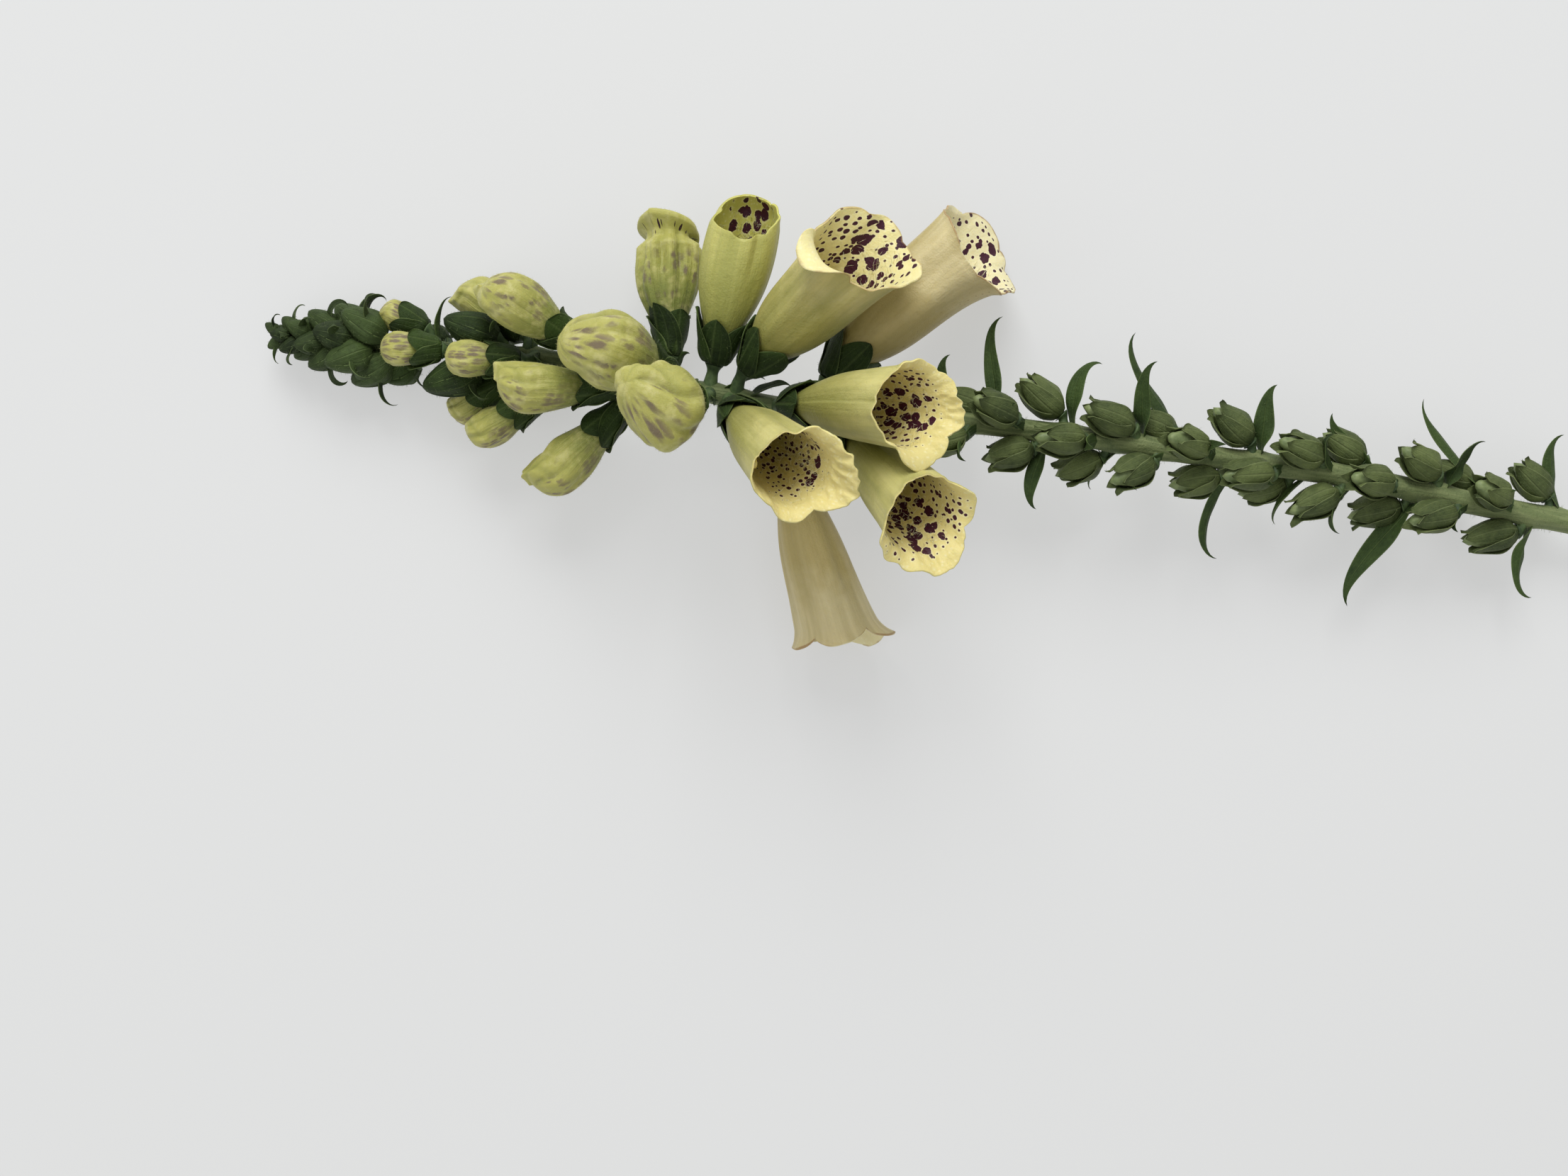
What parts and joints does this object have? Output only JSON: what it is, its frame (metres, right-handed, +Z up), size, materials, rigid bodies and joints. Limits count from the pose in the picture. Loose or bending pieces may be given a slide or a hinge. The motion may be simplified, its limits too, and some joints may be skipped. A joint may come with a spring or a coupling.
{
  "type": "foxglove flower spike",
  "caption": "Cut foxglove spike lying down: leafy stem with green tip buds, yellow buds, drooping open bells in calyces, and seed pods.",
  "frame": {"origin": "on the surface that the spike lies on, under the middle of its bounding box", "axes": "+X along the stem from the tip buds to the cut end, +Z up from the surface"},
  "size_m": [0.3749, 0.1059, 0.067],
  "materials": {
    "leaf_green": "downy matt green stem, sepals and bracts",
    "bud_yellow": "soft satin yellow-green petals, closed",
    "bell_cream": "soft satin cream petals with maroon spots inside",
    "faded_cream": "drying tan-cream petals with brown edges"
  },
  "bodies": {
    "root": {"flower_stalk": "leaf_green", "bud_01": "bud_yellow", "bud_02": "bud_yellow", "bud_03": "bud_yellow", "bud_04": "bud_yellow", "bud_05": "bud_yellow", "bud_06": "bud_yellow", "bud_07": "bud_yellow", "bud_08": "bud_yellow", "bud_09": "bud_yellow", "bud_10": "bud_yellow", "bud_11": "bud_yellow", "bud_12": "bud_yellow", "bud_13": "bud_yellow", "bell_upper_young": "bell_cream", "bell_upper_open": "bell_cream", "bell_upper_faded": "faded_cream", "bell_front_upper": "bell_cream", "bell_front_middle": "bell_cream", "bell_front_lower": "bell_cream", "bell_lower_faded": "faded_cream"}
  },
  "joints": []
}
